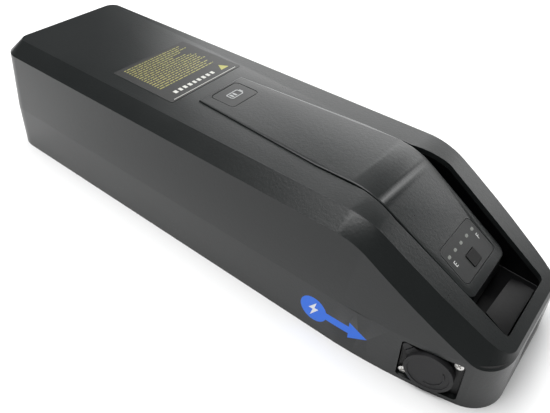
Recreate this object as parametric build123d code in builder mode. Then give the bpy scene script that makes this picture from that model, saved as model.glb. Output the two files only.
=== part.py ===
from build123d import *
import os
from math import asin, atan, cos, degrees, radians, sin, sqrt, tan

os.makedirs("parts", exist_ok=True)

# Battery pack for a bicycle frame: a long moulded case of two shells that lies on its mounting
# face. +X runs to the sloping nose with the grip, +Z is up, -Y is the side with the charge port.
# The origin is the middle of the mounting face's box.

# Case
length = 316.0
width = 90.0
height = 69.0
wall = 2.5
floor = 4.5
seam_z = 26.6  # the shells part here
draft = 3.5  # degrees, upper shell's sides lean in
top_chamfer = 7.4
nose_reach = 5.2  # the chamfer is cut short by the nose by this much
tail_corner = 16.0
nose_corner = 17.0
tail_bulge = 1.0
taper_run = 76.0  # last stretch of the sides, curving in towards the nose
taper_radius = 285.0
slope_run = 65.0  # from the bend to the nose, seen from the side
slope_drop = 41.275  # how far the top falls from the bend to the nose
bend_radius = 36.0

tail_x = -length / 2
nose_x = length / 2
taper_x = nose_x - taper_run
bend_x = nose_x - slope_run
slope_rise = slope_drop / slope_run
slope_angle = atan(slope_rise)

# Raised spine down the middle of the top, and the grip's well around it
spine_raise = 0.8
spine_drop = 4.7  # how far the spine lies below the rails on the slope
spine_start = bend_x - 112.0
spine_half_tail = 16.0
spine_half_mid = 21.0
spine_half_bend = 20.4
spine_half_nose = 18.0
spine_end = nose_x - 23.5
spine_skin = 2.6
spine_depth = 8.6
spine_round = 0.7
spine_corner = 4.0
skirt_wall = 1.8
groove_start = bend_x - 37.0  # from here the spine stands free of the rails
groove_gap = 0.9
channel_gap = 4.2
well_end = nose_x - 5.7
well_half_nose = 20.2
well_corner = 2.0
well_wall = 1.6
well_shallow = height - 6.8
well_step = height - 25.5
well_deep = height - 43.4
fit_gap = 0.15  # moulded pieces that seat in one another
skirt_x = bend_x - 13.0

# Cells: three staggered rows lying across the pack
cell_radius = 9.1
cell_length = 65.0
cell_pitch = 18.6
row_counts = (14, 13, 12)
row_rise = 16.2
pad_thickness = 1.0
end_gap = 3.4
holder_thickness = 4.0
strip_thickness = 0.2
sheet_thickness = 0.4

# Charge port
port_x = nose_x - 26.4
port_z = seam_z - 13.4
port_width = 26.0
port_height = 22.0
port_depth = 4.0
port_floor = 2.2
port_corner = 1.6
bezel_thickness = 1.5
collar_radius = 9.0
socket_radius = 6.9
socket_length = 15.0
cap_radius = 10.3
cap_thickness = 3.1
strap_thickness = 1.2
port_screw_radius = 1.2
port_screw_x = 10.4
port_screw_z = 8.4

# Gauge on the slope
gauge_length = 17.8
gauge_half = 14.3
gauge_corner = 2.6
gauge_x = nose_x - 35.0
panel_thickness = 1.2
panel_gap = 0.2
light_pitch = 5.6
light_count = 5
button_long = 5.9
button_wide = 7.1

# Screw posts
post_end = 36.0
post_pitch = 80.0
post_inset = 6.4
nose_post_end = 54.0
nose_post_inset = 7.6
post_radius = 3.7
pilot_radius = 1.35
post_top = seam_z + 13

# Mounting groove and screw holes
groove_half = 15.0
groove_depth = 2.0
counterbore_radius = 3.0
counterbore_depth = 9.0
screw_clearance = 1.7

# Ramp in the grip
ramp_far = 13.3
ramp_drop = 0.7

# Charge socket
pin_radius = 0.9
pin_length = 7.0
socket_bore = 5.2
pin_circle = 2.9

# Dust cap's strap
ear_x = -10.6
ear_z = 8.4
ear_radius = 2.0
hinge_share = 0.9  # where the ear bends, along the line from the cap's middle to the ear
hinge_gap = 0.25
cap_back = -1.6

# Service port in the nose
usb_y = 3.0
usb_z = seam_z - 13.0
usb_cover_width = 21.0
usb_cover_height = 11.4
usb_recess = 2.2
usb_gap = 0.3
usb_shell_width = 13.2
usb_shell_height = 5.8
usb_shell_depth = 14.0
board_thickness = 1.6

# Mounting face's contacts and lock keeper
dock_x = nose_x - 36.0
dock_length = 18.0
dock_half = 12.0
dock_rise = 13.0
slot_width = 2.0
slot_length = 11.0
blade_thickness = 0.9
keeper_x = nose_x - 12.0
keeper_y = -4.0
keeper_bore = 4.0
keeper_radius = 6.5
keeper_height = 8.0

# Seam seal
seal_width = 1.2
seal_height = 0.9

# Badge
badge_x = spine_start + 9.8
badge_length = 15.6
badge_half = 9.9
badge_corner = 2.4
badge_depth = 1.4
badge_gap = 0.2

# Caution film
label_x = spine_start - 31.6
label_length = 45.2
label_half = 25.8
film_thickness = 0.15

# Side decal
decal_x = port_x - 54.6
decal_z = seam_z - 13.4
decal_radius = 7.0
arrow_half = 2.15
arrow_head = 18.3
arrow_head_half = 5.0
arrow_tip = 27.2

# Gauge's lights, window and board
light_x = -4.0
light_length = 2.2
light_sink = 0.05
light_rise = 1.0
light_width = 1.4
button_x = 3.9
board_depth = 5.2
gauge_window_length = 16.0
gauge_window_half = 12.6

# Protection board
board_x = tail_x + 72.0
board_length = 96.0
board_half = 27.0
transistor_count = 6

# Leads
lead_radius = 1.3
lead_inner = 28.9
lead_outer = 32.2
under_well = 18.8


def rail_z(x, drop=0.0):
    """Height of the sloping face, or of a face that far below it."""
    return height - drop - slope_rise * (x - bend_x)


def side_half(x):
    """Half the case's width at the floor."""
    run = max(x - taper_x, 0.0)
    return width / 2 - (taper_radius - sqrt(taper_radius**2 - run**2))


def outline(inset, reach=0.0):
    """The case's outline in plan as a sketch, inset inside the outer face, its nose moved out by reach."""
    half = width / 2
    front_x = nose_x + reach
    nose_half = side_half(front_x)
    with BuildSketch() as plan:
        with BuildLine():
            Line((taper_x, half), (tail_x + tail_bulge, half))
            ThreePointArc((tail_x + tail_bulge, half), (tail_x, 0), (tail_x + tail_bulge, -half))
            Line((tail_x + tail_bulge, -half), (taper_x, -half))
            TangentArc((taper_x, -half), (front_x, -nose_half), tangent=(1, 0))
            Line((front_x, -nose_half), (front_x, nose_half))
            TangentArc((taper_x, half), (front_x, nose_half), tangent=(1, 0))
        make_face()
        fillet(plan.vertices().sort_by(Axis.X)[:2], tail_corner)
        fillet(plan.vertices().sort_by(Axis.X)[-2:], nose_corner)
        if inset != 0:
            offset(amount=-inset)
    return plan.sketch


def under_top(top, bend, inset=0.0, radius=bend_radius):
    """Everything under a level top that turns down the slope at bend, less inset all over."""
    turn_x = bend - inset * tan(slope_angle / 2)
    turn_z = top - inset
    end_x = nose_x + 20
    with BuildPart() as block:
        with BuildSketch(Plane.XZ):
            with BuildLine():
                Polyline(
                    (tail_x - 20, -20),
                    (end_x, -20),
                    (end_x, turn_z - slope_rise * (end_x - turn_x)),
                    (turn_x, turn_z),
                    (tail_x - 20, turn_z),
                    close=True,
                )
            make_face()
            bend_corner = vertices().sort_by_distance((turn_x, 0, turn_z))[0]
            fillet(bend_corner, radius - inset)
        extrude(amount=width, both=True)
    return block.part


def drafted(inset, base, reach=0.0):
    """The case's outline raised from a base height, upright below the seam and leaning in above."""
    with BuildPart() as block:
        with BuildSketch(Plane.XY.offset(base)):
            add(outline(inset, reach))
        extrude(amount=seam_z - base)
        with BuildSketch(Plane.XY.offset(seam_z)):
            add(outline(inset, reach))
        extrude(amount=height, taper=draft)
    return block.part


def slab(z_low, z_high):
    """A block wider than the case between two heights."""
    with BuildPart() as block:
        with BuildSketch(Plane.XY.offset(z_low)):
            Rectangle(2 * length, 2 * width)
        extrude(amount=z_high - z_low)
    return block.part


def prism(points, z_low, z_high, round_tail=0.0, round_nose=0.0):
    """An upright block on a plan given by one side's points, mirrored across the middle."""
    mirrored = [(x, -y) for x, y in reversed(points)]
    with BuildPart() as block:
        with BuildSketch(Plane.XY.offset(z_low)) as plan:
            with BuildLine():
                Polyline(*points, *mirrored, close=True)
            make_face()
            ends = plan.vertices().sort_by(Axis.X)
            if round_nose > 0:
                fillet(ends[-2:], round_nose)
            if round_tail > 0:
                fillet(ends[:2], round_tail)
        extrude(amount=z_high - z_low)
    return block.part


def roof_edges(part):
    """The edges round the roof of the case, from the tail along both sides to the nose."""
    found = []
    for edge in part.edges():
        middle = edge @ 0.5
        roof = min(height, rail_z(middle.X))
        across = abs((edge @ 0).Y + (edge @ 1).Y) < 0.01
        inside = abs(middle.X) < nose_x + nose_reach - nose_corner
        if middle.Z > roof - 1.5 and not (across and inside):
            found.append(edge)
    return found


# Outer form of the closed case, and the space inside its walls
with BuildPart() as case_outer:
    add(drafted(0.0, 0.0, nose_reach))
    add(under_top(height, bend_x), mode=Mode.INTERSECT)
    chamfer(roof_edges(case_outer.part), top_chamfer)
    add(drafted(0.0, 0.0), mode=Mode.INTERSECT)

with BuildPart() as case_inner:
    add(drafted(wall, floor))
    add(under_top(height, bend_x, top_chamfer), mode=Mode.INTERSECT)

with BuildPart() as roof_inner:
    add(drafted(top_chamfer, floor))
    add(under_top(height, bend_x, wall), mode=Mode.INTERSECT)

# Plans of the spine and of the well that goes round it
spine_bend = bend_x - (spine_drop + spine_raise) / slope_rise
spine_plan = [
    (spine_start, spine_half_tail),
    (groove_start, spine_half_mid),
    (bend_x - 4, spine_half_bend),
    (spine_end, spine_half_nose),
]
well_plan = [
    (groove_start, spine_half_mid + 0.2),
    (bend_x - 12, spine_half_bend + groove_gap),
    (bend_x + 6, spine_half_bend + channel_gap),
    (well_end, well_half_nose),
]


def half_at(points, x):
    """A plan's half width at x, on the straight runs between its points."""
    for (x0, y0), (x1, y1) in zip(points, points[1:]):
        if x0 <= x <= x1:
            return y0 + (y1 - y0) * (x - x0) / (x1 - x0)
    return points[0][1]


def inset_plan(points, inset, start):
    """The same plan from start on, narrower by inset and shorter at the nose."""
    plan = [(start, half_at(points, start))]
    plan += [(x, y) for x, y in points if x > start]
    moved = [(x, y - inset) for x, y in plan]
    moved[-1] = (points[-1][0] - inset, moved[-1][1])
    return moved


def spine_block(inset, z_inset, start=spine_start):
    """The spine's plan from start on, under its own top line, less an inset in plan and in height."""
    plan = inset_plan(spine_plan, inset, start)
    corner = max(spine_corner - inset, 1.0)
    with BuildPart() as block:
        add(prism(plan, 0, height + 10, 0.0, corner))
        add(under_top(height + spine_raise, spine_bend, z_inset), mode=Mode.INTERSECT)
    return block.part


def top_line_edges(part, drop, reach):
    """The edges of a block that lie on its top line, or no further than reach below it."""
    found = []
    for edge in part.edges():
        middle = edge @ 0.5
        if middle.Z > min(height + spine_raise, rail_z(middle.X, drop)) - reach:
            found.append(edge)
    return found


# Well that closes the case under the channels and the grip
well_floor = [
    (groove_start + 0.3, well_shallow + 0.8),
    (groove_start + 16, well_shallow),
    (bend_x - 9, well_step),
    (bend_x + 7, well_step - 1.5),
    (bend_x + 15, well_deep),
    (well_end, well_deep),
]


def above_floor(drop, reach):
    """Everything above the well's floor line, lowered by drop, as far as reach past its ends."""
    with BuildPart() as block:
        with BuildSketch(Plane.XZ):
            with BuildLine():
                first = (well_floor[0][0] - reach, well_floor[0][1] - drop)
                last = (well_end + reach, well_deep - drop)
                middle = [(x - drop * 0.5, z - drop) for x, z in well_floor[1:-1]]
                Polyline(first, *middle, last, (last[0], height + 10), (first[0], height + 10), close=True)
            make_face()
        extrude(amount=width, both=True)
    return block.part


def well_block(grow, drop):
    """The well's plan grown by a wall, above its floor lowered by drop."""
    plan = [(x, y + grow) for x, y in well_plan]
    plan[0] = (plan[0][0] - grow, plan[0][1])
    plan[-1] = (plan[-1][0] + grow, plan[-1][1])
    with BuildPart() as block:
        add(prism(plan, 0, height + 10, 0.0, well_corner + grow))
        add(above_floor(drop, grow), mode=Mode.INTERSECT)
    return block.part


with BuildPart() as grip_well:
    add(well_block(well_wall, well_wall))
    add(well_block(0.0, 0.0), mode=Mode.SUBTRACT)
    add(under_top(height, bend_x, wall + fit_gap), mode=Mode.INTERSECT)

with BuildPart() as well_pocket:
    add(well_block(well_wall + fit_gap, well_wall + fit_gap))
    add(under_top(height, bend_x, wall), mode=Mode.INTERSECT)


# Upper shell: roof, sides, spine with its skirts, and screw posts
with BuildPart() as spine:
    add(spine_block(0.0, 0.0))
    fillet(top_line_edges(spine.part, spine_drop, 0.6), spine_round)
    add(spine_block(0.0, spine_skin), mode=Mode.SUBTRACT)

with BuildPart() as spine_skirts:
    add(spine_block(0.0, 2 * spine_round, skirt_x))
    add(spine_block(skirt_wall, 0.0, skirt_x + skirt_wall), mode=Mode.SUBTRACT)
    add(spine_block(-1.0, spine_depth), mode=Mode.SUBTRACT)

post_spots = [
    (x, side * (width / 2 - post_inset))
    for x in (tail_x + post_end, tail_x + post_end + post_pitch, tail_x + post_end + 2 * post_pitch)
    for side in (-1, 1)
]
post_spots += [(nose_x - nose_post_end, side * (width / 2 - nose_post_inset)) for side in (-1, 1)]

with BuildPart() as upper_shell:
    add(case_outer.part)
    add(case_inner.part, mode=Mode.SUBTRACT)
    add(roof_inner.part, mode=Mode.SUBTRACT)
    add(well_pocket.part, mode=Mode.SUBTRACT)
    add(prism(well_plan, seam_z, height + 10, 0.0, well_corner), mode=Mode.SUBTRACT)
    add(slab(-1.0, seam_z), mode=Mode.SUBTRACT)
    add(spine.part)
    add(spine_skirts.part)
    with BuildSketch(Plane.XY.offset(seam_z)):
        with Locations(*post_spots):
            Circle(post_radius)
            Circle(pilot_radius, mode=Mode.SUBTRACT)
    extrude(amount=post_top - seam_z)

# Lower shell: tray with a boss behind the charge port, posts and the mounting groove
port_angle = asin((port_x - taper_x) / taper_radius)
port_plane = Plane(
    origin=(port_x, -side_half(port_x), port_z),
    x_dir=(cos(port_angle), sin(port_angle), 0),
    z_dir=(sin(port_angle), -cos(port_angle), 0),
)
port_screws = [(port_screw_x, port_screw_z), (-port_screw_x, -port_screw_z)]

with BuildPart() as port_boss:
    with BuildSketch(port_plane.offset(1.0)):
        Rectangle(port_width + 4, 60)
    extrude(amount=-(port_depth + port_floor + 1.0))
    add(drafted(0.0, 0.0), mode=Mode.INTERSECT)
    add(slab(1.0, seam_z), mode=Mode.INTERSECT)

with BuildPart() as lower_shell:
    add(case_outer.part)
    add(case_inner.part, mode=Mode.SUBTRACT)
    add(well_pocket.part, mode=Mode.SUBTRACT)
    add(slab(seam_z, height + 10), mode=Mode.SUBTRACT)
    with BuildSketch(Plane.XY.offset(floor)):
        with Locations(*post_spots):
            Circle(post_radius)
    extrude(amount=seam_z - floor)
    add(port_boss.part)
    with BuildSketch():
        with Locations((tail_x + (length - 40) / 2, 0)):
            Rectangle(length - 40, 2 * groove_half)
    extrude(amount=groove_depth, mode=Mode.SUBTRACT)
    with BuildSketch():
        with Locations(*post_spots):
            Circle(counterbore_radius)
    extrude(amount=counterbore_depth, mode=Mode.SUBTRACT)
    with BuildSketch():
        with Locations(*post_spots):
            Circle(screw_clearance)
    extrude(amount=seam_z, mode=Mode.SUBTRACT)
    with BuildSketch(port_plane.offset(1.0)):
        RectangleRounded(port_width, port_height, port_corner)
    extrude(amount=-(port_depth + 1.0), mode=Mode.SUBTRACT)
    with BuildSketch(port_plane):
        Circle(socket_radius + fit_gap)
        with Locations(*port_screws):
            Circle(port_screw_radius - 0.2)
    extrude(amount=-12, mode=Mode.SUBTRACT)

# Ramp inside the grip, level with the near rail and falling away to the far side
ramp_start = well_end - 11.0
ramp_end = well_end - 0.7
ramp_near = -(well_half_nose - 0.5)
ramp_far_z = rail_z(ramp_end, 2.0)


def ramp_section(y, start_top, end_top):
    """One upright section of the ramp, with the heights of its two top corners."""
    with BuildSketch(Plane.XZ.offset(-y)) as section:
        with BuildLine():
            Polyline(
                (ramp_start, well_deep),
                (ramp_end, well_deep),
                (ramp_end, end_top),
                (ramp_start, start_top),
                close=True,
            )
        make_face()
    return section.sketch


with BuildPart() as grip_ramp:
    add(ramp_section(ramp_near, rail_z(ramp_start, ramp_drop), rail_z(ramp_end, ramp_drop)))
    add(ramp_section(ramp_far, ramp_far_z + 0.8, ramp_far_z - 0.6))
    loft(ruled=True)

# Charge port
with BuildPart() as charge_bezel:
    with BuildSketch(port_plane.offset(-port_depth)):
        RectangleRounded(port_width - 0.6, port_height - 0.6, port_corner)
        Circle(socket_radius + fit_gap, mode=Mode.SUBTRACT)
    extrude(amount=bezel_thickness)
    with BuildSketch(port_plane.offset(-port_depth + bezel_thickness)):
        Circle(collar_radius)
        Circle(socket_radius + fit_gap, mode=Mode.SUBTRACT)
    extrude(amount=0.7)
    with BuildSketch(port_plane):
        with Locations(*port_screws):
            Circle(port_screw_radius + 0.1)
    extrude(amount=-port_depth, mode=Mode.SUBTRACT)

socket_face = -port_depth + 1.0
with BuildPart() as charge_socket:
    with BuildSketch(port_plane.offset(socket_face)):
        Circle(socket_radius)
    extrude(amount=-socket_length)
    with BuildSketch(port_plane.offset(socket_face)):
        Circle(socket_bore)
    extrude(amount=-(pin_length + 1.5), mode=Mode.SUBTRACT)

pin_base = socket_face - pin_length - 1.5
with BuildPart() as charge_pins:
    with BuildSketch(port_plane.offset(pin_base)):
        with PolarLocations(pin_circle, 3, start_angle=90):
            Circle(pin_radius)
    extrude(amount=pin_length)

with BuildPart() as charge_screws:
    with BuildSketch(port_plane.offset(-port_depth + bezel_thickness)):
        with Locations(*port_screws):
            Circle(1.9)
    extrude(amount=0.9)
    with BuildSketch(port_plane.offset(-port_depth + bezel_thickness + 0.9)):
        with Locations(*port_screws):
            SlotOverall(2.6, 0.5, rotation=45)
            SlotOverall(2.6, 0.5, rotation=-45)
    extrude(amount=-0.5, mode=Mode.SUBTRACT)
    with BuildSketch(port_plane.offset(-port_depth + bezel_thickness)):
        with Locations(*port_screws):
            Circle(port_screw_radius - 0.22)
    extrude(amount=-(bezel_thickness + port_floor - 0.3))

# Dust cap: a disc with a plug ring, hinged by an ear at its upper tail corner
cap_turn = degrees(atan(ear_z / -ear_x))
with BuildPart() as cap_outline:
    with BuildSketch(port_plane.offset(cap_back)):
        with BuildSketch(mode=Mode.PRIVATE) as ear:
            with Locations((0, 0)):
                Circle(cap_radius * 0.55)
            with Locations((ear_x, ear_z)):
                Circle(ear_radius)
            make_hull()
        add(ear.sketch)
    extrude(amount=strap_thickness)

with BuildPart() as ear_cut:
    with BuildSketch(port_plane.offset(cap_back - 5)):
        with Locations(Rotation(0, 0, -cap_turn)):
            with Locations((-20 - hinge_share * sqrt(ear_x**2 + ear_z**2), 0)):
                Rectangle(40, 60)
    extrude(amount=20)

with BuildPart() as charge_cap:
    add(cap_outline.part)
    add(ear_cut.part, mode=Mode.SUBTRACT)
    with BuildSketch(port_plane.offset(cap_back)):
        Circle(cap_radius)
    extrude(amount=cap_thickness)
    with BuildSketch(port_plane.offset(cap_back)):
        Circle(socket_bore - 0.35)
        Circle(socket_bore - 1.6, mode=Mode.SUBTRACT)
    extrude(amount=-2.2)
    with BuildSketch(port_plane.offset(cap_back + cap_thickness)):
        Circle(cap_radius - 1.5)
    extrude(amount=-0.35, mode=Mode.SUBTRACT)

# The strap's fixed end, pressed on the bezel beside the cap
with BuildPart() as cap_anchor:
    add(cap_outline.part)
    add(ear_cut.part.moved(Location(-hinge_gap * (port_plane.x_dir * cos(radians(cap_turn))
        - port_plane.y_dir * sin(radians(cap_turn))))), mode=Mode.INTERSECT)
    with BuildSketch(port_plane.offset(-port_depth + bezel_thickness)):
        with Locations((ear_x - 0.3, ear_z + 0.2)):
            Circle(1.0)
    extrude(amount=port_depth - bezel_thickness + cap_back)

# Service port in the nose, behind a hinged rubber cover
nose_plane = Plane(origin=(nose_x, usb_y, usb_z), x_dir=(0, 1, 0), z_dir=(1, 0, 0))

with BuildPart() as usb_port:
    with BuildSketch(nose_plane.offset(-usb_recess - 0.6)):
        Rectangle(usb_shell_width, usb_shell_height)
        Rectangle(usb_shell_width - 0.8, usb_shell_height - 0.8, mode=Mode.SUBTRACT)
    extrude(amount=-usb_shell_depth)
    with BuildSketch(nose_plane.offset(-usb_recess - usb_shell_depth)):
        Rectangle(usb_shell_width, usb_shell_height)
    extrude(amount=-1.0)
    with BuildSketch(nose_plane.offset(-usb_recess - usb_shell_depth)):
        with Locations((0, 1.0)):
            Rectangle(usb_shell_width - 2.2, 1.6)
    extrude(amount=usb_shell_depth - 2.0)

usb_board_x = nose_x - usb_recess - 0.6 - 11.0
with BuildPart() as usb_board:
    with BuildSketch(Plane.XY.offset(usb_z - usb_shell_height / 2)):
        with Locations((usb_board_x - 3.0, usb_y)):
            Rectangle(18, 24)
    extrude(amount=-board_thickness)
    with BuildSketch(Plane.XY.offset(usb_z - usb_shell_height / 2)):
        with Locations((usb_board_x - 9.0, usb_y - 8.5), (usb_board_x - 9.0, usb_y + 8.5)):
            Rectangle(4, 4)
    extrude(amount=2.0)

with BuildPart() as usb_cover:
    with BuildSketch(nose_plane.offset(-usb_recess)):
        RectangleRounded(usb_cover_width, usb_cover_height, 1.6)
    extrude(amount=usb_recess)
    with BuildSketch(nose_plane):
        RectangleRounded(usb_cover_width - 3.0, usb_cover_height - 3.0, 1.0)
        RectangleRounded(usb_cover_width - 4.2, usb_cover_height - 4.2, 0.8, mode=Mode.SUBTRACT)
    extrude(amount=-0.3, mode=Mode.SUBTRACT)

# Contacts of the mounting face: a block with four blades, and the lock bolt's keeper
slot_spots = [(dock_x, y) for y in (-8.4, -2.8, 2.8, 8.4)]

with BuildPart() as dock_connector:
    with BuildSketch(Plane.XY.offset(groove_depth)):
        with Locations((dock_x, 0)):
            Rectangle(dock_length, 2 * dock_half)
    extrude(amount=dock_rise - groove_depth)
    with BuildSketch(Plane.XY.offset(floor)):
        with Locations((dock_x, 0)):
            Rectangle(dock_length + 5, 2 * dock_half + 5)
    extrude(amount=2.0)
    with BuildSketch():
        with Locations(*slot_spots):
            Rectangle(slot_length, slot_width)
    extrude(amount=dock_rise - 2.5, mode=Mode.SUBTRACT)

with BuildPart() as dock_blades:
    with BuildSketch(Plane.XY.offset(groove_depth + 1.2)):
        with Locations(*slot_spots):
            Rectangle(slot_length - 1.0, blade_thickness)
    extrude(amount=dock_rise - 2.5 - groove_depth - 1.2)

with BuildPart() as lock_keeper:
    with BuildSketch():
        with Locations((keeper_x, keeper_y)):
            Circle(keeper_radius)
            Circle(keeper_bore, mode=Mode.SUBTRACT)
    extrude(amount=keeper_height)

# Seal in a groove round the lower shell's rim
with BuildPart() as seam_seal:
    with BuildSketch(Plane.XY.offset(seam_z - seal_height)):
        add(outline(0.7))
        add(outline(0.7 + seal_width), mode=Mode.SUBTRACT)
    extrude(amount=seal_height)

with BuildPart() as case_screws:
    with BuildSketch(Plane.XY.offset(counterbore_depth - 2.6)):
        with Locations(*post_spots):
            Circle(counterbore_radius - 0.25)
    extrude(amount=2.6)
    with BuildSketch(Plane.XY.offset(counterbore_depth - 2.6)):
        with Locations(*post_spots):
            RegularPolygon(1.25, 6)
    extrude(amount=1.5, mode=Mode.SUBTRACT)
    with BuildSketch(Plane.XY.offset(counterbore_depth)):
        with Locations(*post_spots):
            Circle(pilot_radius - 0.05)
    extrude(amount=post_top - counterbore_depth - 3)

# Badge, caution film and side decal
badge_top = height + spine_raise
with BuildPart() as badge_plate:
    with BuildSketch(Plane.XY.offset(badge_top - badge_depth)):
        with Locations((badge_x, 0)):
            RectangleRounded(badge_length, 2 * badge_half, badge_corner)
    extrude(amount=badge_depth)

with BuildPart() as badge_symbol:
    with BuildSketch(Plane.XY.offset(badge_top)):
        with Locations((badge_x, 0)):
            RectangleRounded(5.0, 8.6, 1.0)
            RectangleRounded(3.8, 7.4, 0.5, mode=Mode.SUBTRACT)
        with Locations((badge_x, 4.8)):
            Rectangle(2.4, 0.8)
        with Locations((badge_x, -2.2), (badge_x, 0.0)):
            Rectangle(2.6, 1.3)
    extrude(amount=0.15)

with BuildPart() as caution_film:
    with BuildSketch(Plane.XY.offset(height)):
        with Locations((label_x, 0)):
            RectangleRounded(label_length, 2 * label_half, 0.8)
    extrude(amount=film_thickness)

side_plane = Plane(origin=(decal_x, -width, decal_z), x_dir=(1, 0, 0), z_dir=(0, -1, 0))


with BuildPart() as decal_bolt:
    with BuildSketch(side_plane):
        with BuildLine():
            Polyline(
                (1.4, 4.6),
                (-2.6, -0.4),
                (-0.4, -0.4),
                (-1.6, -4.8),
                (2.6, 0.9),
                (0.5, 0.9),
                close=True,
            )
        make_face()
    extrude(amount=-width)
    add(drafted(0.0, 0.0), mode=Mode.INTERSECT)
    add(drafted(film_thickness, 0.0), mode=Mode.SUBTRACT)

with BuildPart() as side_decal:
    with BuildSketch(side_plane):
        Circle(decal_radius)
        with BuildLine():
            Polyline(
                (0, arrow_half),
                (arrow_head, arrow_half),
                (arrow_head, arrow_head_half),
                (arrow_tip, 0),
                (arrow_head, -arrow_head_half),
                (arrow_head, -arrow_half),
                (0, -arrow_half),
                close=True,
            )
        make_face()
    extrude(amount=-width)
    add(drafted(0.0, 0.0), mode=Mode.INTERSECT)
    add(drafted(film_thickness, 0.0), mode=Mode.SUBTRACT)
    add(decal_bolt.part, mode=Mode.SUBTRACT)

# Lower shell with the openings that the nose and the mounting face need
with BuildPart() as lower_case:
    add(lower_shell.part)
    with BuildSketch(nose_plane.offset(0.0)):
        Rectangle(usb_cover_width + 6, usb_cover_height + 5)
    extrude(amount=-(usb_recess + 1.8))
    with BuildSketch(nose_plane.offset(1.0)):
        RectangleRounded(usb_cover_width + 2 * usb_gap, usb_cover_height + 2 * usb_gap, 1.6 + usb_gap)
    extrude(amount=-(usb_recess + 1.0), mode=Mode.SUBTRACT)
    with BuildSketch(nose_plane):
        Rectangle(usb_shell_width + 2 * fit_gap, usb_shell_height + 2 * fit_gap)
    extrude(amount=-10, mode=Mode.SUBTRACT)
    with BuildSketch(Plane.XY.offset(-1)):
        with Locations((dock_x, 0)):
            Rectangle(dock_length + 2 * fit_gap, 2 * dock_half + 2 * fit_gap)
        with Locations((keeper_x, keeper_y)):
            Circle(keeper_radius + 0.02)
    extrude(amount=floor + 1, mode=Mode.SUBTRACT)
    add(seam_seal.part, mode=Mode.SUBTRACT)
    add(side_decal.part, mode=Mode.SUBTRACT)
    add(decal_bolt.part, mode=Mode.SUBTRACT)

# Gauge: panel let into the spine, light guides, button, board and the housing that closes it
gauge_plane = Plane(
    origin=(gauge_x, 0, rail_z(gauge_x, spine_drop)),
    x_dir=(cos(slope_angle), 0, -sin(slope_angle)),
    z_dir=(sin(slope_angle), 0, cos(slope_angle)),
)
light_spots = [(light_x, (i - (light_count - 1) / 2) * light_pitch) for i in range(light_count)]

with BuildPart() as gauge_panel:
    with BuildSketch(gauge_plane):
        RectangleRounded(gauge_length, 2 * gauge_half, gauge_corner)
        with Locations((button_x, 0)):
            RectangleRounded(button_long + 0.4, button_wide + 0.4, 0.6, mode=Mode.SUBTRACT)
        with Locations(*light_spots):
            SlotOverall(light_length, light_width, rotation=90, mode=Mode.SUBTRACT)
    extrude(amount=-panel_thickness)

with BuildPart() as gauge_lights:
    with BuildSketch(gauge_plane.offset(-light_sink)):
        with Locations(*light_spots):
            SlotOverall(light_length, light_width, rotation=90)
    extrude(amount=-(board_depth - light_rise - light_sink))

with BuildPart() as gauge_button:
    with BuildSketch(gauge_plane.offset(-panel_thickness - 0.9)):
        with Locations((button_x, 0)):
            RectangleRounded(button_long, button_wide, 0.5)
    extrude(amount=panel_thickness + 1.3)
    with BuildSketch(gauge_plane.offset(-panel_thickness - 0.9)):
        with Locations((button_x, 0)):
            RectangleRounded(button_long + 1.2, button_wide + 1.2, 0.8)
    extrude(amount=0.6)
    with BuildSketch(gauge_plane.offset(-panel_thickness - 0.9)):
        with Locations((button_x, 0)):
            Circle(1.5)
    extrude(amount=-0.3)

with BuildPart() as gauge_board:
    with BuildSketch(gauge_plane.offset(-board_depth)):
        Rectangle(14.4, 28.0)
    extrude(amount=-1.2)
    with BuildSketch(gauge_plane.offset(-board_depth)):
        with Locations(*light_spots):
            Rectangle(1.0, 1.6)
    extrude(amount=light_rise)
    with BuildSketch(gauge_plane.offset(-board_depth)):
        with Locations((button_x, 0)):
            Rectangle(4.4, 4.4)
    extrude(amount=1.2)

housing_depth = board_depth + 1.2
with BuildPart() as gauge_housing:
    add(spine_block(skirt_wall + fit_gap, housing_depth, skirt_x + skirt_wall + fit_gap))
    add(spine_block(-1.0, housing_depth + 1.6), mode=Mode.SUBTRACT)

with BuildPart() as upper_case:
    add(upper_shell.part)
    with BuildSketch(gauge_plane.offset(1.0)):
        RectangleRounded(gauge_length + 2 * panel_gap, 2 * (gauge_half + panel_gap), gauge_corner + panel_gap)
    extrude(amount=-(panel_thickness + 1.0), mode=Mode.SUBTRACT)
    with BuildSketch(gauge_plane):
        Rectangle(gauge_window_length, 2 * gauge_window_half)
    extrude(amount=-4.0, mode=Mode.SUBTRACT)
    with BuildSketch(Plane.XY.offset(badge_top - badge_depth)):
        with Locations((badge_x, 0)):
            RectangleRounded(badge_length + 2 * badge_gap, 2 * (badge_half + badge_gap), badge_corner + badge_gap)
    extrude(amount=3.0, mode=Mode.SUBTRACT)

# Cells in three staggered rows, their holders, strips, sheets and pads
cells_tail = tail_x + wall + end_gap
row_z0 = floor + pad_thickness + cell_radius + 0.15
cell_rows = []
for row, count in enumerate(row_counts):
    first_x = cells_tail + cell_pitch / 2 + (row % 2) * cell_pitch / 2
    cell_rows.append([(first_x + i * cell_pitch, row_z0 + row * row_rise) for i in range(count)])


def lying_plane(y):
    """A plane across the pack at y, its own x along the pack and its own y up."""
    return Plane(origin=(0, y, 0), x_dir=(1, 0, 0), z_dir=(0, -1, 0))


def row_bands(grow):
    """The outline of the stacked rows as a sketch, larger by grow at the ends."""
    with BuildSketch() as bands:
        for row, spots in enumerate(cell_rows):
            low = spots[0][1] - (cell_radius + 0.1 if row == 0 else row_rise / 2)
            high = spots[0][1] + (cell_radius + 0.1 if row == len(cell_rows) - 1 else row_rise / 2 + 1.0)
            run = len(spots) * cell_pitch + 2 * grow
            with Locations(((spots[0][0] + spots[-1][0]) / 2, (low + high) / 2)):
                Rectangle(run, high - low)
    return bands.sketch


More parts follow.
